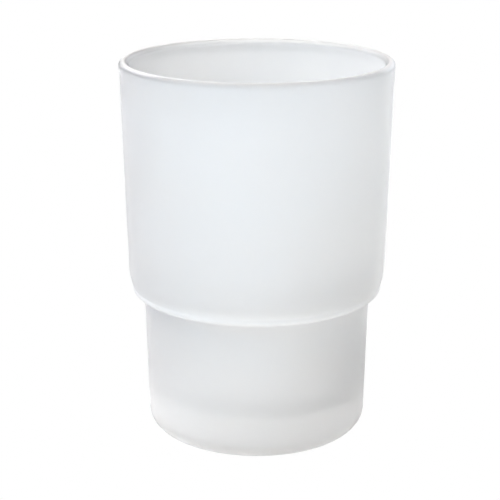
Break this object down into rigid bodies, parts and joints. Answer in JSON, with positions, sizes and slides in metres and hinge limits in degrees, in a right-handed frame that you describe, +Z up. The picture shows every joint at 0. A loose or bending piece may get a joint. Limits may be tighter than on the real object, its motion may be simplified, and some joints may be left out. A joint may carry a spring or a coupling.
{
  "type": "bathroom tumbler",
  "caption": "Satin glass bathroom tumbler: a tapered bowl on a narrower foot, with a beaded step whose flat underside rests on a holder's ring.",
  "frame": {"origin": "middle of the plane that the glass stands on", "axes": "+Z up along the glass's own axis, from the base to the open rim; the glass is round, so +X and +Y are alike"},
  "size_m": [0.0714, 0.0714, 0.1],
  "materials": {
    "satin_glass": "satin"
  },
  "bodies": {
    "root": {"tumbler_glass": "satin_glass"}
  },
  "joints": []
}
